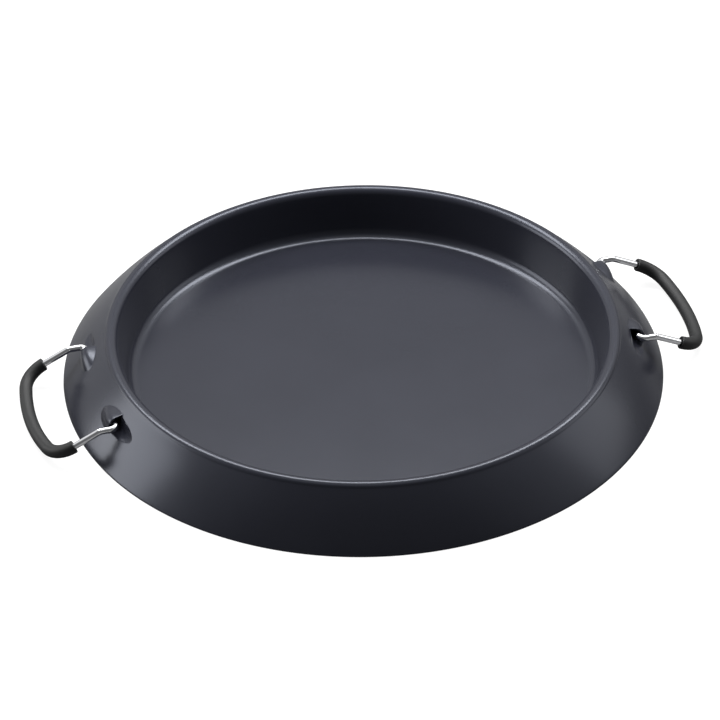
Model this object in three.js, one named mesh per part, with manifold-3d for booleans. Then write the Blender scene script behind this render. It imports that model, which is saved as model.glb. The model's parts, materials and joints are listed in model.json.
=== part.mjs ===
// A round, non-stick coated pan with a deep flat well and a wide flared skirt.
// The pan, its rim, its skirt and the four ears are one pressed sheet. Two wire
// bails hook into the ears, swing up and down, and carry soft grip sleeves.
// Millimetres, +Z up, origin under the middle of the pan on the table, with the
// two handles along the X axis.

import * as THREE from 'three';
import { mergeVertices } from 'three/addons/utils/BufferGeometryUtils.js';
import Module from 'manifold-3d';

const wasm = await Module();
wasm.setup();

// Pan sheet
const sheet = 1.2;
const panHeight = 32.4;
const rimInnerRadius = 4.7;
const rimOuterRadius = 4;
const rimOuterTilt = THREE.MathUtils.degToRad(58);
const wallLean = THREE.MathUtils.degToRad(13);
const wellCornerRadius = 7;

// Skirt
const skirtRadius = 185;
const skirtReach = 30.1;
const rimCrestRadius = skirtRadius - skirtReach;
const grooveRadius = 1.8;
const hemCurlRadius = 2.5;
const skirtTopTilt = THREE.MathUtils.degToRad(43);
const hemCurlTilt = THREE.MathUtils.degToRad(80);
// The lower edge of the hem just meets the table
const hemHeight = sheet * Math.cos(hemCurlTilt);

// Wire bail
const wireRadius = 2;
const armSpacing = 87;
const hookBendRadius = 4;
const hookDepth = 8.6;
const kinkReach = 10.2;
const kinkBendRadius = 6;
const gripReach = 37.6;
const gripCornerRadius = 16;
const gripBowRadius = 130;

// Grip sleeve
const sleeveFit = 0.3;
const sleeveWall = 1.8;
const sleeveRadius = wireRadius + sleeveFit + sleeveWall;
const sleeveStraight = 0.5;
const tableGap = 0.1;

// Ears in the skirt, each a raised dome and a pressed scoop on the two sides of a slit
const earShare = 0.37;
const slitInset = 5.4;
const slitStep = 0.25;
const shellShare = 0.8;
const wireLift = 1;
const domeLength = 15;
const domeSideRoom = 4.8;
const domeHalfWidth = wireRadius + domeSideRoom;
const domeRoom = 0.6;
const domeHeight = wireLift + wireRadius + domeRoom + sheet;
const scoopLength = 16.5;
const scoopSideRoom = 4.4;
const scoopHalfWidth = wireRadius + scoopSideRoom;
const scoopRoom = 1.5;
const scoopDepth = wireRadius + scoopRoom;

// Facets
const turnFacets = 72;
const wireSides = 8;
const sleeveSides = 10;
const wireSteps = 108;
const sleeveSteps = 48;
const earFacets = 20;
const earRings = 10;

const coated = new THREE.MeshStandardMaterial({ color: 0x3b3d44, roughness: 0.42, metalness: 0.0 });
const chrome = new THREE.MeshStandardMaterial({ color: 0xc9ccd0, roughness: 0.08, metalness: 1.0 });
const silicone = new THREE.MeshStandardMaterial({ color: 0x1d1e20, roughness: 0.6, metalness: 0.0 });

function asManifold(geometry) {
  const bare = geometry.clone();
  bare.deleteAttribute('normal');
  bare.deleteAttribute('uv');
  const merged = mergeVertices(bare);
  return new wasm.Manifold(new wasm.Mesh({
    numProp: 3,
    vertProperties: new Float32Array(merged.attributes.position.array),
    triVerts: new Uint32Array(merged.index.array),
  }));
}

function asGeometry(manifold) {
  const mesh = manifold.getMesh();
  const geometry = new THREE.BufferGeometry();
  geometry.setAttribute('position', new THREE.BufferAttribute(mesh.vertProperties, 3));
  geometry.setIndex(new THREE.BufferAttribute(mesh.triVerts, 1));
  geometry.computeVertexNormals();
  return geometry;
}

// A walk along the cooking side of the sheet, in the radius-height plane. Each
// stop keeps its place and the tilt of the sheet there, which is zero where the
// sheet is level and grows as it falls away outwards.
class Section {
  constructor(radius, height, tilt) {
    this.stops = [{ radius, height, tilt }];
  }

  get end() {
    return this.stops[this.stops.length - 1];
  }

  line(length) {
    const { radius, height, tilt } = this.end;
    this.stops.push({
      radius: radius + length * Math.cos(tilt),
      height: height - length * Math.sin(tilt),
      tilt,
    });
    return this;
  }

  // A round crest where the tilt grows, or a round hollow where it shrinks
  bend(roundRadius, tiltAfter, steps) {
    const start = this.end;
    const side = Math.sign(tiltAfter - start.tilt);
    for (let step = 1; step <= steps; step += 1) {
      const tilt = start.tilt + (tiltAfter - start.tilt) * step / steps;
      this.stops.push({
        radius: start.radius + side * roundRadius * (Math.sin(tilt) - Math.sin(start.tilt)),
        height: start.height - side * roundRadius * (Math.cos(start.tilt) - Math.cos(tilt)),
        tilt,
      });
    }
    return this;
  }
}

// The big round of the skirt leaves the rim at its own tilt and ends where the hem curl starts
function skirtRound(start) {
  const spanTo = (tiltAfter) => ({
    across: skirtRadius - hemCurlRadius * (Math.sin(hemCurlTilt) - Math.sin(tiltAfter)) - start.radius,
    down: start.height - hemHeight - hemCurlRadius * (Math.cos(tiltAfter) - Math.cos(hemCurlTilt)),
  });
  let tiltAfter = start.tilt;
  for (let pass = 0; pass < 40; pass += 1) {
    const span = spanTo(tiltAfter);
    tiltAfter = 2 * Math.atan2(span.down, span.across) - start.tilt;
  }
  const span = spanTo(tiltAfter);
  const radius = span.across / (Math.sin(tiltAfter) - Math.sin(start.tilt));
  return { radius, tiltAfter };
}

function panSection() {
  const wallTilt = wallLean - Math.PI / 2;
  const rise = new Section(0, sheet, 0)
    .bend(wellCornerRadius, wallTilt, 6)
    .bend(rimInnerRadius, 0, 5).end;
  const wallLength = (panHeight - rise.height) / Math.cos(wallLean);
  const floorRadius = rimCrestRadius - rise.radius - wallLength * Math.sin(wallLean);
  const section = new Section(0, sheet, 0)
    .line(floorRadius)
    .bend(wellCornerRadius, wallTilt, 6)
    .line(wallLength)
    .bend(rimInnerRadius, 0, 5)
    .bend(rimOuterRadius, rimOuterTilt, 4)
    .bend(grooveRadius, skirtTopTilt, 2);
  const round = skirtRound(section.end);
  const roundCentre = {
    radius: section.end.radius - round.radius * Math.sin(section.end.tilt),
    height: section.end.height - round.radius * Math.cos(section.end.tilt),
  };
  const topTilt = section.end.tilt;
  section.bend(round.radius, round.tiltAfter, 5).bend(hemCurlRadius, hemCurlTilt, 3);
  return { stops: section.stops, round, roundCentre, topTilt };
}

const pan = panSection();

// The foot of an ear lies on the big round of the skirt, and the line on which the
// bail turns passes a little above it
const earTilt = pan.topTilt + earShare * (pan.round.tiltAfter - pan.topTilt);
const earFoot = {
  radius: pan.roundCentre.radius + pan.round.radius * Math.sin(earTilt),
  height: pan.roundCentre.height + pan.round.radius * Math.cos(earTilt),
};
const armReach = armSpacing / 2;
const slitReach = armReach - slitInset;
const hookTipReach = slitReach - hookDepth;
const pivotRadius = earFoot.radius + wireLift * Math.sin(earTilt);
const pivotHeight = earFoot.height + wireLift * Math.cos(earTilt);
const slitAngle = Math.asin(slitReach / pivotRadius);
const pivotReach = pivotRadius * Math.cos(slitAngle);

function panSheet() {
  const top = pan.stops.map(({ radius, height }) => new THREE.Vector2(radius, height));
  const under = pan.stops.map(({ radius, height, tilt }) => new THREE.Vector2(
    Math.max(radius - sheet * Math.sin(tilt), 0),
    height - sheet * Math.cos(tilt),
  ));
  const outline = [...under, ...top.reverse()];
  return new THREE.LatheGeometry(outline, turnFacets).rotateX(Math.PI / 2);
}

// What a box keeps of an ellipsoid whose middle lies on the slit, sunk into the sheet
function bulge(length, halfWidth, depth, sink, keep) {
  const ball = asManifold(new THREE.SphereGeometry(1, earFacets, earRings));
  const box = new THREE.BoxGeometry(keep.toX - keep.fromX, 2 * halfWidth, keep.toZ - keep.fromZ);
  box.translate((keep.fromX + keep.toX) / 2, 0, (keep.fromZ + keep.toZ) / 2);
  return ball.scale([length, halfWidth, depth]).translate([0, 0, -sink]).intersect(asManifold(box));
}

// The ear's own axes: +X along the skirt towards the middle of the handle, +Z out of the sheet
function earPlace(towards) {
  const angle = slitAngle * towards;
  const outward = new THREE.Vector3(Math.cos(angle), Math.sin(angle), 0);
  const along = new THREE.Vector3(Math.sin(angle), -Math.cos(angle), 0).multiplyScalar(towards);
  const normal = outward.clone().multiplyScalar(Math.sin(earTilt));
  normal.z = Math.cos(earTilt);
  const slope = normal.clone().cross(along);
  const frame = new THREE.Matrix4().makeBasis(along, slope, normal);
  frame.setPosition(outward.clone().multiplyScalar(earFoot.radius).setZ(earFoot.height));
  return frame;
}

function placed(manifold, frame) {
  return manifold.transform(frame.toArray());
}

function panBody() {
  let body = asManifold(panSheet());
  const halfSheet = sheet / 2;
  const twoSheets = 2 * sheet;
  const dome = bulge(domeLength, domeHalfWidth, domeHeight, 0, {
    fromX: 0, toX: domeLength, fromZ: -shellShare * sheet, toZ: domeHeight,
  });
  const underDome = bulge(domeLength - halfSheet, domeHalfWidth - halfSheet, domeHeight, sheet, {
    fromX: -slitStep, toX: domeLength, fromZ: -twoSheets, toZ: domeHeight,
  });
  const underScoop = bulge(scoopLength + halfSheet, scoopHalfWidth + halfSheet, scoopDepth, sheet, {
    fromX: -scoopLength - sheet, toX: -2 * slitStep, fromZ: -scoopDepth - twoSheets, toZ: -halfSheet,
  });
  const scoop = bulge(scoopLength, scoopHalfWidth, scoopDepth, 0, {
    fromX: -scoopLength, toX: slitStep, fromZ: -scoopDepth, toZ: halfSheet,
  });
  const turned = new THREE.Matrix4().makeRotationZ(Math.PI);
  for (const towards of [1, -1]) {
    for (const side of [new THREE.Matrix4(), turned]) {
      const frame = side.clone().multiply(earPlace(towards));
      body = body.add(placed(dome, frame)).add(placed(underScoop, frame));
      body = body.subtract(placed(underDome, frame)).subtract(placed(scoop, frame));
    }
  }
  return asGeometry(body);
}

class Arc extends THREE.Curve {
  constructor(centre, from, towards, radius, angle) {
    super();
    Object.assign(this, { centre, from, towards, radius, angle });
  }

  getPoint(t, target = new THREE.Vector3()) {
    return target.copy(this.centre)
      .addScaledVector(this.from, this.radius * Math.cos(this.angle * t))
      .addScaledVector(this.towards, this.radius * Math.sin(this.angle * t));
  }
}

const outwards = new THREE.Vector3(1, 0, 0);
const upwards = new THREE.Vector3(0, 0, 1);
const sideways = new THREE.Vector3(0, 1, 0);

// How far the arms slope down from the kink, so that the sleeve just meets the table
const armSlope = Math.asin((pivotHeight - sleeveRadius - tableGap) / gripReach);
const armDirection = new THREE.Vector3(Math.cos(armSlope), 0, -Math.sin(armSlope));
const kink = new THREE.Vector3(kinkReach, 0, 0);
const cornerAcross = armReach - gripCornerRadius;
const bowAngle = Math.asin(cornerAcross / (gripBowRadius - gripCornerRadius));
const bowCentre = kink.clone().addScaledVector(armDirection, gripReach - gripBowRadius);
const cornerReach = gripReach - gripBowRadius + (gripBowRadius - gripCornerRadius) * Math.cos(bowAngle);
const sleeveReach = cornerReach - sleeveStraight;

function onArm(reach, across) {
  return kink.clone().addScaledVector(armDirection, reach).addScaledVector(sideways, across);
}

// The curves of one arm from the middle of the handle outwards are walked on one
// side, and the same curves are mirrored on the other
function gripCurves(side) {
  const sideAxis = sideways.clone().multiplyScalar(side);
  return [
    new THREE.LineCurve3(onArm(sleeveReach, armReach * side), onArm(cornerReach, armReach * side)),
    new Arc(onArm(cornerReach, cornerAcross * side), sideAxis, armDirection, gripCornerRadius,
      Math.PI / 2 - bowAngle),
  ];
}

function armCurves(side) {
  const sideAxis = sideways.clone().multiplyScalar(side);
  const tip = hookTipReach * side;
  const bendStart = (armReach - hookBendRadius) * side;
  const kinkTrim = kinkBendRadius * Math.tan(armSlope / 2);
  const kinkStart = new THREE.Vector3(kinkReach - kinkTrim, armReach * side, 0);
  return [
    new THREE.LineCurve3(new THREE.Vector3(0, tip, 0), new THREE.Vector3(0, bendStart, 0)),
    new Arc(new THREE.Vector3(hookBendRadius, bendStart, 0), outwards.clone().negate(), sideAxis,
      hookBendRadius, Math.PI / 2),
    new THREE.LineCurve3(new THREE.Vector3(hookBendRadius, armReach * side, 0), kinkStart),
    new Arc(kinkStart.clone().addScaledVector(upwards, -kinkBendRadius), upwards, outwards,
      kinkBendRadius, armSlope),
    new THREE.LineCurve3(onArm(kinkTrim, armReach * side), onArm(sleeveReach, armReach * side)),
  ];
}

class Reversed extends THREE.Curve {
  constructor(curve) {
    super();
    this.curve = curve;
  }

  getPoint(t, target = new THREE.Vector3()) {
    return this.curve.getPoint(1 - t, target);
  }
}

function chain(curves) {
  const path = new THREE.CurvePath();
  curves.forEach((curve) => path.add(curve));
  return path;
}

function backwards(curves) {
  return [...curves].reverse().map((curve) => new Reversed(curve));
}

function bow() {
  const from = armDirection.clone().multiplyScalar(Math.cos(bowAngle))
    .addScaledVector(sideways, -Math.sin(bowAngle));
  const towards = armDirection.clone().multiplyScalar(Math.sin(bowAngle))
    .addScaledVector(sideways, Math.cos(bowAngle));
  return new Arc(bowCentre, from, towards, gripBowRadius, 2 * bowAngle);
}

const gripPath = [...gripCurves(-1), bow(), ...backwards(gripCurves(1))];
const wirePath = [...armCurves(-1), ...gripPath, ...backwards(armCurves(1))];

function ringShape(radius, sides) {
  const corners = Array.from({ length: sides }, (_, index) => {
    const angle = 2 * Math.PI * index / sides;
    return new THREE.Vector2(radius * Math.cos(angle), radius * Math.sin(angle));
  });
  return new THREE.Shape(corners);
}

function wireGeometry() {
  return new THREE.ExtrudeGeometry(ringShape(wireRadius, wireSides), {
    steps: wireSteps, extrudePath: chain(wirePath),
  });
}

function sleeveGeometry() {
  const wall = ringShape(sleeveRadius, sleeveSides);
  wall.holes.push(new THREE.Path(ringShape(wireRadius + sleeveFit, sleeveSides).getPoints().reverse()));
  return new THREE.ExtrudeGeometry(wall, { steps: sleeveSteps, extrudePath: chain(gripPath) });
}

function mesh(name, geometry, material) {
  const piece = new THREE.Mesh(geometry, material);
  piece.name = name;
  return piece;
}

function handle(name) {
  const bail = new THREE.Group();
  bail.add(mesh(`${name}_handle_wire`, wireGeometry(), chrome));
  bail.add(mesh(`${name}_handle_sleeve`, sleeveGeometry(), silicone));
  bail.position.set(pivotReach, 0, pivotHeight);
  const side = new THREE.Group();
  side.add(bail);
  return side;
}

const assembly = new THREE.Group();
assembly.add(mesh('pan_body', panBody(), coated));
assembly.add(handle('right'));
const leftHandle = handle('left');
leftHandle.rotation.z = Math.PI;
assembly.add(leftHandle);

export default assembly;
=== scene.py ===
# %% [markdown]
# # A non-stick pan with a wide skirt and two wire handles
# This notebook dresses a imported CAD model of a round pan. The pan is one pressed sheet:
# a flat floor, a steep wall, an arched rim, and a skirt that flares down to the table.
# Two chrome-plated wires hook into ears in the skirt and carry soft black sleeves.
# The CAD solids are exact but faceted, so each visible piece is modelled again here with
# finer curves, in the same place, and stands in for its CAD node.

# %% Load the frame
import json
import math

import bmesh
import bpy
from mathutils import Matrix, Vector


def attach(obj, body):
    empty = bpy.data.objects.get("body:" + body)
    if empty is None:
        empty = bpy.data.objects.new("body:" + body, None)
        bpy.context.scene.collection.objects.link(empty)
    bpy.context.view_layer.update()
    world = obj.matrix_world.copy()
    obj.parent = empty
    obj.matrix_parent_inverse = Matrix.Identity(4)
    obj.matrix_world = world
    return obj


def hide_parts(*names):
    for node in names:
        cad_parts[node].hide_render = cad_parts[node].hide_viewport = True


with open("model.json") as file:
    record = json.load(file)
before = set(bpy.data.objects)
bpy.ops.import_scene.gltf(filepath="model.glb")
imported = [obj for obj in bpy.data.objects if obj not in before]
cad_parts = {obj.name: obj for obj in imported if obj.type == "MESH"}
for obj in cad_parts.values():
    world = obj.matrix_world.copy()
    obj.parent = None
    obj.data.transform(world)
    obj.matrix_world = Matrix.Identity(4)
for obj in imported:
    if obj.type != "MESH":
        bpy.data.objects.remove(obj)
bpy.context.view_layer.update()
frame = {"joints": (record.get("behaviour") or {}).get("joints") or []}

# %% [markdown]
# ## Units
# The frame is in metres, and a maker thinks in millimetres. One short function turns one
# into the other, so that every size below can be read against a ruler.

# %% Millimetres to metres
def mm(value):
    return value / 1000


# %% [markdown]
# ## The camera
# The photograph was taken with a long lens from well above the table, and the two handles
# stand a little askew to it. The camera's place, aim and small roll were worked out from the
# outlines of the rim, the well and the skirt, which are all circles about one axis. The last
# 0.7 mm of the eye's height shares out a small mismatch between the hem and the rim.

# %% Place the camera
AROUND = math.radians(-14.9)
PITCH = math.radians(36.22)
YAW = math.radians(-0.05)
ROLL = math.radians(-0.73)
SKIRT_RADIUS = mm(185)
EYE_BACK = 12.10 * SKIRT_RADIUS
EYE_HEIGHT = 8.90 * SKIRT_RADIUS + mm(0.7)

camera_data = bpy.data.cameras.new("camera")
camera_data.sensor_width = 36
camera_data.lens = 225
camera_data.clip_end = 20
camera = bpy.data.objects.new("camera", camera_data)
bpy.context.scene.collection.objects.link(camera)
bpy.context.scene.camera = camera

forward = Vector((
    math.sin(YAW) * math.cos(PITCH),
    math.cos(YAW) * math.cos(PITCH),
    -math.sin(PITCH),
))
level_right = forward.cross(Vector((0, 0, 1))).normalized()
level_up = level_right.cross(forward)
right = level_right * math.cos(ROLL) + level_up * math.sin(ROLL)
up = level_up * math.cos(ROLL) - level_right * math.sin(ROLL)
turn = Matrix((right, up, -forward)).transposed().to_4x4()
place = Matrix.Translation((0, -EYE_BACK, EYE_HEIGHT))
camera.matrix_world = Matrix.Rotation(AROUND, 4, "Z") @ place @ turn
print("camera at", [round(v, 3) for v in camera.matrix_world.translation])

# %% [markdown]
# ## Small helpers for modelling by hand
# Modelling operators act on whatever is selected. These helpers pick one piece alone,
# select parts of it by a test, apply its modifiers and turn its faces outwards. The last one
# finishes a piece: its origin is the origin of the frame, and it rides on its body.

# %% Helpers for picking and editing
SMOOTH_UNDER = math.radians(35)


def start_fresh():
    if bpy.context.object and bpy.context.object.mode != "OBJECT":
        bpy.ops.object.mode_set(mode="OBJECT")
    bpy.ops.object.select_all(action="DESELECT")


def pick(piece):
    start_fresh()
    piece.select_set(True)
    bpy.context.view_layer.objects.active = piece


def edit(piece):
    pick(piece)
    bpy.ops.object.mode_set(mode="EDIT")


def select_where(piece, kind, test):
    bpy.ops.mesh.select_all(action="DESELECT")
    bpy.ops.mesh.select_mode(type=kind)
    mesh = bmesh.from_edit_mesh(piece.data)
    items = {"VERT": mesh.verts, "EDGE": mesh.edges, "FACE": mesh.faces}[kind]
    chosen = [item for item in items if test(item)]
    for item in chosen:
        item.select_set(True)
    mesh.select_flush_mode()
    bmesh.update_edit_mesh(piece.data)
    return len(chosen)


def apply_all(piece):
    pick(piece)
    for modifier in list(piece.modifiers):
        bpy.ops.object.modifier_apply(modifier=modifier.name)


def face_outwards(piece):
    edit(piece)
    bpy.ops.mesh.select_all(action="SELECT")
    bpy.ops.mesh.normals_make_consistent(inside=False)
    bpy.ops.object.mode_set(mode="OBJECT")


def finish_piece(piece, body, node):
    pick(piece)
    bpy.ops.object.transform_apply(location=True, rotation=True, scale=True)
    bpy.ops.object.shade_smooth_by_angle(angle=SMOOTH_UNDER)
    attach(piece, body)
    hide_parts(node)
    size = [round(v * 1000, 1) for v in piece.dimensions]
    print(piece.name, "mm", size, "faces", len(piece.data.polygons))


# %% [markdown]
# ## The section of the pan
# A pan like this is drawn from one flat blank of sheet, so one line, its section, says
# nearly everything about it. The line is walked from the middle of the floor outwards:
# along the floor, round the corner, up the wall, over the arched rim, through a shallow
# groove and down the long skirt. Each stop keeps its radius, its height and its tilt. The
# skirt is one wide round, found by repeated reckoning, so that it runs into the hem smoothly.

# %% Walk the section
SHEET = mm(1.2)
PAN_HEIGHT = mm(32.4)
CREST_RADIUS = mm(154.9)
WELL_CORNER = mm(7)
RIM_INNER_ROUND = mm(4.7)
RIM_OUTER_ROUND = mm(4)
GROOVE_ROUND = mm(1.8)
HEM_CURL = mm(2.5)
HEM_HEIGHT = mm(0.25)
WALL_TILT = math.radians(13 - 90)
RIM_OUTER_TILT = math.radians(58)
SKIRT_TOP_TILT = math.radians(43)
HEM_TILT = math.radians(80)
FITTING_ROUNDS = 40


def straight(stops, length, steps):
    radius, height, tilt = stops[-1]
    for step in range(1, steps + 1):
        along = length * step / steps
        stops.append((radius + along * math.cos(tilt), height - along * math.sin(tilt), tilt))


def bend(stops, round_radius, tilt_after, steps):
    radius, height, tilt = stops[-1]
    side = math.copysign(1, tilt_after - tilt)
    for step in range(1, steps + 1):
        now = tilt + (tilt_after - tilt) * step / steps
        stops.append((
            radius + side * round_radius * (math.sin(now) - math.sin(tilt)),
            height - side * round_radius * (math.cos(tilt) - math.cos(now)),
            now,
        ))


def wall_and_floor():
    rise = [(0, SHEET, 0)]
    bend(rise, WELL_CORNER, WALL_TILT, steps=1)
    bend(rise, RIM_INNER_ROUND, 0, steps=1)
    wall = (PAN_HEIGHT - rise[-1][1]) / math.sin(-WALL_TILT)
    floor = CREST_RADIUS - rise[-1][0] - wall * math.cos(WALL_TILT)
    return wall, floor


def skirt_round(start):
    radius, height, tilt = start
    after = tilt
    for _ in range(FITTING_ROUNDS):
        across = SKIRT_RADIUS - HEM_CURL * (math.sin(HEM_TILT) - math.sin(after)) - radius
        down = height - HEM_HEIGHT - HEM_CURL * (math.cos(after) - math.cos(HEM_TILT))
        after = 2 * math.atan2(down, across) - tilt
    return across / (math.sin(after) - math.sin(tilt)), after


wall_length, floor_radius = wall_and_floor()
section = [(0, SHEET, 0)]
straight(section, floor_radius, steps=6)
bend(section, WELL_CORNER, WALL_TILT, steps=12)
straight(section, wall_length, steps=5)
bend(section, RIM_INNER_ROUND, 0, steps=10)
bend(section, RIM_OUTER_ROUND, RIM_OUTER_TILT, steps=8)
bend(section, GROOVE_ROUND, SKIRT_TOP_TILT, steps=4)
skirt_top = section[-1]
skirt_radius, hem_start_tilt = skirt_round(skirt_top)
round_centre = (
    skirt_top[0] - skirt_radius * math.sin(skirt_top[2]),
    skirt_top[1] - skirt_radius * math.cos(skirt_top[2]),
)
bend(section, skirt_radius, hem_start_tilt, steps=22)
bend(section, HEM_CURL, HEM_TILT, steps=5)
print("section stops:", len(section), "floor radius mm:", round(floor_radius * 1000, 1))

# %% [markdown]
# ## Spinning the sheet
# The section is drawn as a chain of edges: one vertex, extruded from stop to stop. Spinning
# the chain once about the upright axis gives the cooking side of the sheet. One degree a
# step puts a row of vertices exactly on each of the four slits that come later.

# %% Draw the chain and spin it
TURN_STEPS = 360
MERGE_WITHIN = mm(0.002)

start_fresh()
bpy.ops.mesh.primitive_plane_add(size=mm(1), location=(0, 0, 0))
pan = bpy.context.object
pan.name = "pan_sheet"
edit(pan)
select_where(pan, "VERT", lambda vert: vert.index > 0)
bpy.ops.mesh.delete(type="VERT")
bpy.ops.mesh.select_all(action="SELECT")
seed = bmesh.from_edit_mesh(pan.data).verts[:][0].co.copy()
bpy.ops.transform.translate(value=Vector((0, 0, SHEET)) - seed)
for before, after in zip(section, section[1:]):
    move = (after[0] - before[0], 0, after[1] - before[1])
    bpy.ops.mesh.extrude_region_move(TRANSFORM_OT_translate={"value": move})
bpy.ops.mesh.select_all(action="SELECT")
bpy.ops.mesh.spin(steps=TURN_STEPS, angle=math.tau, center=(0, 0, 0), axis=(0, 0, 1))
bpy.ops.mesh.select_all(action="SELECT")
bpy.ops.mesh.remove_doubles(threshold=MERGE_WITHIN)
face_outwards(pan)
floor_face = min(pan.data.polygons, key=lambda face: face.center.length)
if floor_face.normal.z < 0:
    edit(pan)
    bpy.ops.mesh.select_all(action="SELECT")
    bpy.ops.mesh.flip_normals()
    bpy.ops.object.mode_set(mode="OBJECT")
print("spun sheet:", len(pan.data.polygons), "faces")

# %% [markdown]
# ## The four ears
# Each wire end is held by an ear. On the press, a short slit is cut down the slope of the
# skirt, one side of it is pushed out as a small dome and the other side is pushed in as a
# scoop, and the wire hooks in under the dome. The same is done here: the skirt is divided
# finely around each ear, the slit is an edge split, and the two sides are moved apart.

# %% Where the ears are
SLIT_ANGLE = math.radians(13)
DOME = dict(length=mm(18), half_width=mm(7.4), height=mm(4.6))
SCOOP = dict(length=mm(20), half_width=mm(5.8), height=mm(-2.8))
EAR_DEPTH = mm(4)

hinge = next(joint for joint in frame["joints"] if joint["name"] == "right_handle_hinge")
pivot = Vector(hinge["pos_m"])
slit_reach = pivot.x / math.cos(SLIT_ANGLE)
foot_tilt = math.atan2(slit_reach - round_centre[0], pivot.z - round_centre[1])
foot_radius = round_centre[0] + skirt_radius * math.sin(foot_tilt)
foot_height = round_centre[1] + skirt_radius * math.cos(foot_tilt)


def ear_axes(handle_angle, towards):
    angle = handle_angle + towards * SLIT_ANGLE
    outward = Vector((math.cos(angle), math.sin(angle), 0))
    along = Vector((math.sin(angle), -math.cos(angle), 0)) * towards
    normal = outward * math.sin(foot_tilt) + Vector((0, 0, math.cos(foot_tilt)))
    foot = outward * foot_radius + Vector((0, 0, foot_height))
    return foot, along, normal.cross(along), normal


def in_ear(point, axes):
    foot, along, slope, normal = axes
    offset = point - foot
    return offset.dot(along), offset.dot(slope), offset.dot(normal)


ears = [ear_axes(angle, towards) for angle in (0, math.pi) for towards in (1, -1)]
print("ear feet at mm:", [[round(v * 1000, 1) for v in axes[0]] for axes in ears])

# %% Divide the skirt finely around the ears
FIELD_REACH = mm(22)
FIELD_WIDTH = mm(9.5)


def near_ear(point, axes, reach, width):
    along, slope, normal = in_ear(point, axes)
    return abs(along) < reach and abs(slope) < width and abs(normal) < EAR_DEPTH


edit(pan)
for axes in ears:
    count = select_where(pan, "FACE", lambda face: near_ear(
        face.calc_center_median(), axes, FIELD_REACH, FIELD_WIDTH))
    bpy.ops.mesh.subdivide(number_cuts=3)
    print("faces divided:", count)

# %% Cut the slits
SLIT_TOLERANCE = mm(0.01)
SLIT_HALF_LENGTH = DOME["half_width"] - mm(0.3)


def on_slit(vert, axes):
    return near_ear(vert.co, axes, SLIT_TOLERANCE, SLIT_HALF_LENGTH)


for axes in ears:
    count = select_where(
        pan, "EDGE", lambda edge: all(on_slit(vert, axes) for vert in edge.verts))
    bpy.ops.mesh.edge_split(type="EDGE")
    print("slit edges:", count)
bpy.ops.object.mode_set(mode="OBJECT")

# %% [markdown]
# A pressed dome leaves the skirt at a slant, rises and rounds over, and stays full enough to
# cover the wire. One curve gives that shape, from 0 at the foot to 1 at the top.

# %% Push the domes out and the scoops in
EAR_ROOM = mm(30)


def pressed(fraction):
    return math.sin(fraction * math.pi / 2)


mesh = bmesh.new()
mesh.from_mesh(pan.data)
moves = {}
for axes in ears:
    foot, normal_axis = axes[0], axes[3]
    for vert in mesh.verts:
        if (vert.co - foot).length > EAR_ROOM:
            continue
        along, slope, normal = in_ear(vert.co, axes)
        side = sum(in_ear(face.calc_center_median(), axes)[0] for face in vert.link_faces)
        shape = DOME if side > 0 else SCOOP
        away = math.hypot(along / shape["length"], slope / shape["half_width"])
        if away < 1 and abs(normal) < EAR_DEPTH:
            moves[vert] = normal_axis * shape["height"] * pressed(1 - away)
for vert, move in moves.items():
    vert.co += move
mesh.to_mesh(pan.data)
mesh.free()
print("vertices moved for the ears:", len(moves))

# %% Give the sheet its thickness
thickness = pan.modifiers.new("sheet thickness", "SOLIDIFY")
thickness.thickness = SHEET
thickness.offset = -1
thickness.use_rim = True
edges = pan.modifiers.new("deburred edges", "BEVEL")
edges.width = mm(0.2)
edges.segments = 2
edges.limit_method = "ANGLE"
edges.angle_limit = math.radians(50)
apply_all(pan)
finish_piece(pan, "pan", "pan_body")

# %% [markdown]
# ## The wire handles
# Each handle is one wire, bent cold around pins: a hook that turns in under the ear, a
# short level leg, a kink, a sloping arm, and a wide grip with round corners and a slight
# bow that follows the pan. A ring is extruded along the straights and spun round the bends,
# for one half of the handle, and the other half is its mirror image.

# %% Where the wire bends
WIRE_RADIUS = mm(2)
SLEEVE_RADIUS = mm(4.1)
SLEEVE_SKIN = SLEEVE_RADIUS - mm(0.06)
SLEEVE_ROOM = mm(0.3)
SLEEVE_STRAIGHT = mm(0.5)
ARM_REACH = mm(43.5)
HOOK_BEND = mm(4)
HOOK_TIP = mm(29.5)
KINK_REACH = mm(10.2)
KINK_BEND = mm(6)
GRIP_REACH = mm(37.6)
GRIP_CORNER = mm(16)
GRIP_BOW = mm(130)
TABLE_GAP = mm(0.1)

arm_slope = math.asin((pivot.z - SLEEVE_RADIUS - TABLE_GAP) / GRIP_REACH)
arm_direction = Vector((math.cos(arm_slope), 0, -math.sin(arm_slope)))
grip_normal = Vector((math.sin(arm_slope), 0, math.cos(arm_slope)))
kink = pivot + Vector((KINK_REACH, 0, 0))
kink_trim = KINK_BEND * math.tan(arm_slope / 2)
corner_across = ARM_REACH - GRIP_CORNER
bow_angle = math.asin(corner_across / (GRIP_BOW - GRIP_CORNER))
corner_reach = GRIP_REACH - GRIP_BOW + (GRIP_BOW - GRIP_CORNER) * math.cos(bow_angle)
sleeve_reach = corner_reach - SLEEVE_STRAIGHT


def on_arm(reach, across):
    return kink + arm_direction * reach + Vector((0, across, 0))


print("arm slope in degrees:", round(math.degrees(arm_slope), 1))

# %% Bend one half of a handle
def ring(name, centre, radius, sides, turned):
    start_fresh()
    bpy.ops.mesh.primitive_circle_add(
        vertices=sides, radius=radius, location=centre, rotation=turned)
    piece = bpy.context.object
    piece.name = name
    bpy.ops.object.transform_apply(location=True, rotation=True, scale=True)
    edit(piece)
    bpy.ops.mesh.select_all(action="SELECT")
    return piece


def draw_out(start, end):
    bpy.ops.mesh.extrude_region_move(TRANSFORM_OT_translate={"value": end - start})


def spin_round(centre, axis, angle, steps):
    bpy.ops.mesh.spin(steps=steps, angle=-angle, center=centre, axis=axis)


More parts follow.
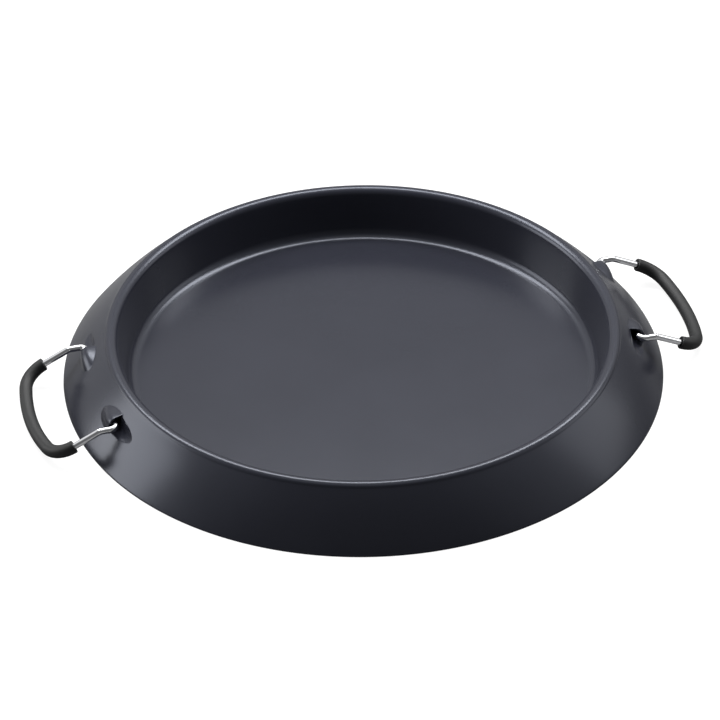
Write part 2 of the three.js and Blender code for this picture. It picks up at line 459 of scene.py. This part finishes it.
def grip_half(steps):
    draw_out(on_arm(sleeve_reach, ARM_REACH), on_arm(corner_reach, ARM_REACH))
    spin_round(on_arm(corner_reach, corner_across), grip_normal, bow_angle - math.pi / 2, steps)
    spin_round(on_arm(GRIP_REACH - GRIP_BOW, 0), grip_normal, -bow_angle, steps)


def mirror_half(piece):
    bpy.ops.object.mode_set(mode="OBJECT")
    mirror = piece.modifiers.new("other half", "MIRROR")
    mirror.use_axis = (False, True, False)
    mirror.merge_threshold = mm(0.02)
    apply_all(piece)
    face_outwards(piece)


def right_wire():
    tip = pivot + Vector((0, HOOK_TIP, 0))
    bend_start = pivot + Vector((0, ARM_REACH - HOOK_BEND, 0))
    wire = ring("right_wire", tip, WIRE_RADIUS, sides=28, turned=(math.pi / 2, 0, 0))
    bpy.ops.mesh.edge_face_add()
    bpy.ops.mesh.select_all(action="SELECT")
    draw_out(tip, bend_start)
    spin_round(bend_start + Vector((HOOK_BEND, 0, 0)), (0, 0, 1), -math.pi / 2, steps=10)
    draw_out(Vector((HOOK_BEND, 0, 0)), Vector((KINK_REACH - kink_trim, 0, 0)))
    kink_centre = kink + Vector((-kink_trim, ARM_REACH, -KINK_BEND))
    spin_round(kink_centre, (0, 1, 0), arm_slope, steps=8)
    draw_out(on_arm(kink_trim, ARM_REACH), on_arm(sleeve_reach, ARM_REACH))
    grip_half(steps=14)
    bpy.ops.mesh.delete(type="ONLY_FACE")
    mirror_half(wire)
    return wire


right_handle_wire = right_wire()
print("half bends mirrored:", len(right_handle_wire.data.vertices), "vertices")

# %% [markdown]
# ## The grip sleeves
# A soft tube is pushed on to each wire before it is bent, and follows its bends. Its ends
# are cut square, and the cut leaves a small soft edge. Its skin is a hair thinner than in
# the CAD model, so that the round tube stays inside the box of the faceted one.

# %% Draw the sleeve
def right_sleeve():
    start = on_arm(sleeve_reach, ARM_REACH)
    turned = (0, math.pi / 2 + arm_slope, 0)
    sleeve = ring("right_sleeve", start, SLEEVE_SKIN, sides=36, turned=turned)
    grip_half(steps=20)
    mirror_half(sleeve)
    wall = sleeve.modifiers.new("tube wall", "SOLIDIFY")
    wall.thickness = SLEEVE_SKIN - WIRE_RADIUS - SLEEVE_ROOM
    wall.offset = -1
    cut = sleeve.modifiers.new("cut edge", "BEVEL")
    cut.width = mm(0.45)
    cut.segments = 3
    cut.limit_method = "ANGLE"
    cut.angle_limit = math.radians(50)
    apply_all(sleeve)
    return sleeve


right_handle_sleeve = right_sleeve()
print("sleeve faces:", len(right_handle_sleeve.data.polygons))

# %% Turn copies round for the left handle
def opposite(piece, name):
    pick(piece)
    bpy.ops.object.duplicate()
    copy = bpy.context.object
    copy.name = name
    edit(copy)
    bpy.ops.mesh.select_all(action="SELECT")
    bpy.ops.transform.rotate(value=math.pi, orient_axis="Z", center_override=(0, 0, 0))
    bpy.ops.object.mode_set(mode="OBJECT")
    return copy


left_handle_wire = opposite(right_handle_wire, "left_wire")
left_handle_sleeve = opposite(right_handle_sleeve, "left_sleeve")
finish_piece(right_handle_wire, "right_handle", "right_handle_wire")
finish_piece(right_handle_sleeve, "right_handle", "right_handle_sleeve")
finish_piece(left_handle_wire, "left_handle", "left_handle_wire")
finish_piece(left_handle_sleeve, "left_handle", "left_handle_sleeve")

# %% [markdown]
# ## Colours and nodes
# Colours are written as the hex values that a screen shows, and one function turns them into
# the linear values that light is reckoned in. Another adds a node with its settings and links.

# %% Helpers for materials
def linear(code):
    parts = [int(code[place:place + 2], 16) / 255 for place in (0, 2, 4)]
    return [v / 12.92 if v <= 0.04045 else ((v + 0.055) / 1.055) ** 2.4 for v in parts] + [1]


def add_node(tree, kind, settings=None, inputs=None):
    node = tree.nodes.new(kind)
    for name, value in (settings or {}).items():
        setattr(node, name, value)
    for name, value in (inputs or {}).items():
        socket = node.inputs[name]
        if isinstance(value, bpy.types.NodeSocket):
            tree.links.new(value, socket)
        else:
            socket.default_value = value
    return node


def new_material(name):
    material = bpy.data.materials.new(name)
    material.use_nodes = True
    material.node_tree.nodes.clear()
    return material, material.node_tree


def surface(tree, shader):
    add_node(tree, "ShaderNodeOutputMaterial", inputs={"Surface": shader.outputs[0]})


def per_metre(size_mm):
    return 1000 / size_mm


# %% [markdown]
# ## Non-stick coating
# The sheet carries a sprayed and baked fluoropolymer coat, charcoal with a slate cast. The
# spray leaves a fine orange peel, and the baked surface has a satin gloss that spreads
# highlights. Fluoropolymer mirrors little, so the coat's index is low, and the pigment gives
# what it mirrors a cool cast. The peel is drawn about 0.9 mm wide, a little coarser than the
# real one, so that it shows at all.

# %% Coat the pan
def nonstick_coating():
    material, tree = new_material("sprayed non-stick coat")
    where = add_node(tree, "ShaderNodeTexCoord").outputs["Object"]
    peel = add_node(tree, "ShaderNodeTexNoise", inputs={
        "Vector": where, "Scale": per_metre(0.9), "Detail": 2.0, "Roughness": 0.5})
    cloud = add_node(tree, "ShaderNodeTexNoise", inputs={
        "Vector": where, "Scale": per_metre(70), "Detail": 3.0, "Roughness": 0.55})
    tone = add_node(tree, "ShaderNodeMix", {"data_type": "RGBA"}, {
        "Factor": cloud.outputs["Fac"], "A": linear("1f2027"), "B": linear("24252d")})
    gloss = add_node(tree, "ShaderNodeMapRange", inputs={
        "Value": cloud.outputs["Fac"], "To Min": 0.23, "To Max": 0.27})
    bump = add_node(tree, "ShaderNodeBump", inputs={
        "Height": peel.outputs["Fac"], "Strength": 0.06, "Distance": mm(0.08)})
    shader = add_node(tree, "ShaderNodeBsdfPrincipled", inputs={
        "Base Color": tone.outputs["Result"], "Roughness": gloss.outputs["Result"],
        "IOR": 1.41, "Specular Tint": linear("e9efff"), "Normal": bump.outputs["Normal"]})
    surface(tree, shader)
    return material


def dress(piece, material):
    piece.data.materials.clear()
    piece.data.materials.append(material)
    print(piece.name, "wears", material.name)


dress(pan, nonstick_coating())

# %% [markdown]
# ## Chrome plate
# The wire is steel, polished and plated with bright chrome. It mirrors what is around it,
# with a little blur from the drawing lines of the wire.

# %% Plate the wires
def chrome_plate():
    material, tree = new_material("bright chrome plate")
    where = add_node(tree, "ShaderNodeTexCoord").outputs["Object"]
    ripple = add_node(tree, "ShaderNodeTexNoise", inputs={
        "Vector": where, "Scale": per_metre(6), "Detail": 1.0})
    gloss = add_node(tree, "ShaderNodeMapRange", inputs={
        "Value": ripple.outputs["Fac"], "To Min": 0.05, "To Max": 0.1})
    bump = add_node(tree, "ShaderNodeBump", inputs={
        "Height": ripple.outputs["Fac"], "Strength": 0.05, "Distance": mm(0.2)})
    shader = add_node(tree, "ShaderNodeBsdfPrincipled", inputs={
        "Base Color": linear("e4e5e8"), "Metallic": 1.0,
        "Roughness": gloss.outputs["Result"], "Normal": bump.outputs["Normal"]})
    surface(tree, shader)
    return material


chrome = chrome_plate()
dress(right_handle_wire, chrome)
dress(left_handle_wire, chrome)

# %% [markdown]
# ## Silicone rubber
# The sleeves are extruded silicone tube, black with a dry, slightly dusty skin. Its highlights
# are wide and soft, and a very fine grain breaks them up.

# %% Cover the grips
def silicone_rubber():
    material, tree = new_material("extruded silicone rubber")
    where = add_node(tree, "ShaderNodeTexCoord").outputs["Object"]
    grain = add_node(tree, "ShaderNodeTexNoise", inputs={
        "Vector": where, "Scale": per_metre(0.5), "Detail": 3.0})
    dust = add_node(tree, "ShaderNodeTexNoise", inputs={
        "Vector": where, "Scale": per_metre(14), "Detail": 4.0})
    tone = add_node(tree, "ShaderNodeMix", {"data_type": "RGBA"}, {
        "Factor": dust.outputs["Fac"], "A": linear("0e0f10"), "B": linear("141516")})
    bump = add_node(tree, "ShaderNodeBump", inputs={
        "Height": grain.outputs["Fac"], "Strength": 0.25, "Distance": mm(0.05)})
    shader = add_node(tree, "ShaderNodeBsdfPrincipled", inputs={
        "Base Color": tone.outputs["Result"], "Roughness": 0.55, "IOR": 1.41,
        "Normal": bump.outputs["Normal"]})
    surface(tree, shader)
    return material


rubber = silicone_rubber()
dress(right_handle_sleeve, rubber)
dress(left_handle_sleeve, rubber)

# %% [markdown]
# ## Floor and light
# The pan stands on a plain pale table in a pale studio. Dark satin metal is lit by what it
# mirrors more than by its own colour. The flat floor of the pan mirrors the white behind it.
# A big soft panel hangs high behind the pan and draws the bright line along the rim, and two
# low panels at the sides light the skirt.
#
# The table shines for the camera, so that it looks white, and only faintly in what the metal
# mirrors. Both begin at a distance from the middle, so the table under the pan shines only
# along the last few millimetres inside the hem.

# %% Lay the floor
CAMERA_GLOW = 0.87
MIRRORED_GLOW = 0.2
SEEN_FROM = mm(178), mm(184)
MIRRORED_FROM = mm(300), mm(600)


def from_to(tree, value, start, end, low, high):
    return add_node(tree, "ShaderNodeMapRange", inputs={
        "Value": value, "From Min": start, "From Max": end, "To Min": low, "To Max": high,
    }).outputs["Result"]


def combine(tree, how, first, second):
    return add_node(tree, "ShaderNodeMath", {"operation": how}, {0: first, 1: second}).outputs[0]


def pale_table():
    material, tree = new_material("pale table")
    where = add_node(tree, "ShaderNodeTexCoord").outputs["Object"]
    reach = add_node(tree, "ShaderNodeVectorMath", {"operation": "LENGTH"}, {0: where})
    path = add_node(tree, "ShaderNodeLightPath")
    beside_pan = from_to(tree, reach.outputs["Value"], *SEEN_FROM, 0.0, CAMERA_GLOW)
    far_off = from_to(tree, reach.outputs["Value"], *MIRRORED_FROM, 0.0, MIRRORED_GLOW)
    mirrored = combine(
        tree, "MAXIMUM", path.outputs["Is Glossy Ray"], path.outputs["Is Transmission Ray"])
    seen = combine(tree, "MULTIPLY", beside_pan, path.outputs["Is Camera Ray"])
    shown = combine(tree, "MULTIPLY", far_off, mirrored)
    shader = add_node(tree, "ShaderNodeBsdfPrincipled", inputs={
        "Base Color": linear("7c7c7c"), "Roughness": 0.8, "Specular IOR Level": 0.1,
        "Emission Color": linear("ffffff"),
        "Emission Strength": combine(tree, "MAXIMUM", seen, shown)})
    surface(tree, shader)
    return material


start_fresh()
bpy.ops.mesh.primitive_circle_add(vertices=64, radius=6, fill_type="NGON", location=(0, 0, 0))
table = bpy.context.object
table.name = "table"
dress(table, pale_table())

# %% [markdown]
# The studio is painted on the world: a white band up to about 40 degrees, a dark belt above
# it and a pale patch overhead. The band reaches higher at the two sides, where the sloping
# wires mirror it. It is whole on the left, and fades at the horizon elsewhere and towards
# the viewer. Each line of numbers is one fade: from where to where it runs, along one axis of
# the direction as the camera sees it, and from what value to what.

# %% Set the studio around
OFF_HORIZON = 0.05, 0.35, 0.1, 0.95
ON_LEFT = -0.2, -0.6, 0.0, 0.9
HIGHER_ASIDE = 0.25, 0.55, 0.0, 0.2
BELOW_DARK = 0.6, 0.74, 1.0, 0.0
BEHIND = -0.7, 0.1, 0.0, 1.0
OVERHEAD = 0.88, 0.94, 0.15, 0.8


def studio_world():
    world = bpy.data.worlds.new("studio")
    bpy.context.scene.world = world
    world.use_nodes = True
    tree = world.node_tree
    tree.nodes.clear()
    way = add_node(tree, "ShaderNodeTexCoord").outputs["Generated"]
    turned = add_node(tree, "ShaderNodeVectorRotate", {"rotation_type": "Z_AXIS"}, {
        "Vector": way, "Angle": -AROUND})
    parts = add_node(tree, "ShaderNodeSeparateXYZ", inputs={"Vector": turned.outputs["Vector"]})
    rightwards, backwards, upwards = (parts.outputs[axis] for axis in "XYZ")
    off_horizon = from_to(tree, upwards, *OFF_HORIZON)
    on_left = from_to(tree, rightwards, *ON_LEFT)
    aside = add_node(tree, "ShaderNodeMath", {"operation": "ABSOLUTE"}, {0: rightwards})
    higher_aside = from_to(tree, aside.outputs[0], *HIGHER_ASIDE)
    lowered = combine(tree, "SUBTRACT", upwards, higher_aside)
    below_dark = from_to(tree, lowered, *BELOW_DARK)
    behind = from_to(tree, backwards, *BEHIND)
    lit = combine(tree, "MULTIPLY", below_dark, behind)
    band = combine(tree, "MULTIPLY", combine(tree, "MAXIMUM", off_horizon, on_left), lit)
    overhead = from_to(tree, upwards, *OVERHEAD)
    around = combine(tree, "MAXIMUM", band, overhead)
    camera_ray = add_node(tree, "ShaderNodeLightPath").outputs["Is Camera Ray"]
    sky = add_node(tree, "ShaderNodeBackground", inputs={
        "Color": linear("ffffff"), "Strength": combine(tree, "MAXIMUM", around, camera_ray)})
    add_node(tree, "ShaderNodeOutputWorld", inputs={"Surface": sky.outputs[0]})


studio_world()
print("studio set")

# %% Hang the soft panels
def soft_panel(name, around, elevation, distance, width, height, radiance):
    data = bpy.data.lights.new(name, "AREA")
    data.shape = "RECTANGLE"
    data.size = width
    data.size_y = height
    data.energy = radiance * math.pi * width * height
    lamp = bpy.data.objects.new(name, data)
    bpy.context.scene.collection.objects.link(lamp)
    angle = AROUND + math.radians(around)
    lift = math.radians(elevation)
    away = Vector((
        math.cos(angle) * math.cos(lift), math.sin(angle) * math.cos(lift), math.sin(lift)))
    lamp.location = away * distance
    lamp.rotation_euler = lamp.location.to_track_quat("Z", "Y").to_euler()
    print(name, "at", [round(v, 2) for v in lamp.location], "watts", round(data.energy, 1))


soft_panel("high back panel", around=90, elevation=61, distance=0.85,
           width=1.2, height=0.24, radiance=16)
soft_panel("left panel", around=172, elevation=20, distance=2.2,
           width=1.2, height=1.1, radiance=5.2)
soft_panel("right panel", around=12, elevation=24, distance=2.2,
           width=1.0, height=1.0, radiance=1.5)

# %% [markdown]
# ## Last settings
# The view transform is plain, so that a colour comes out about as it is written.

# %% Set the view transform
bpy.context.scene.view_settings.view_transform = "Standard"
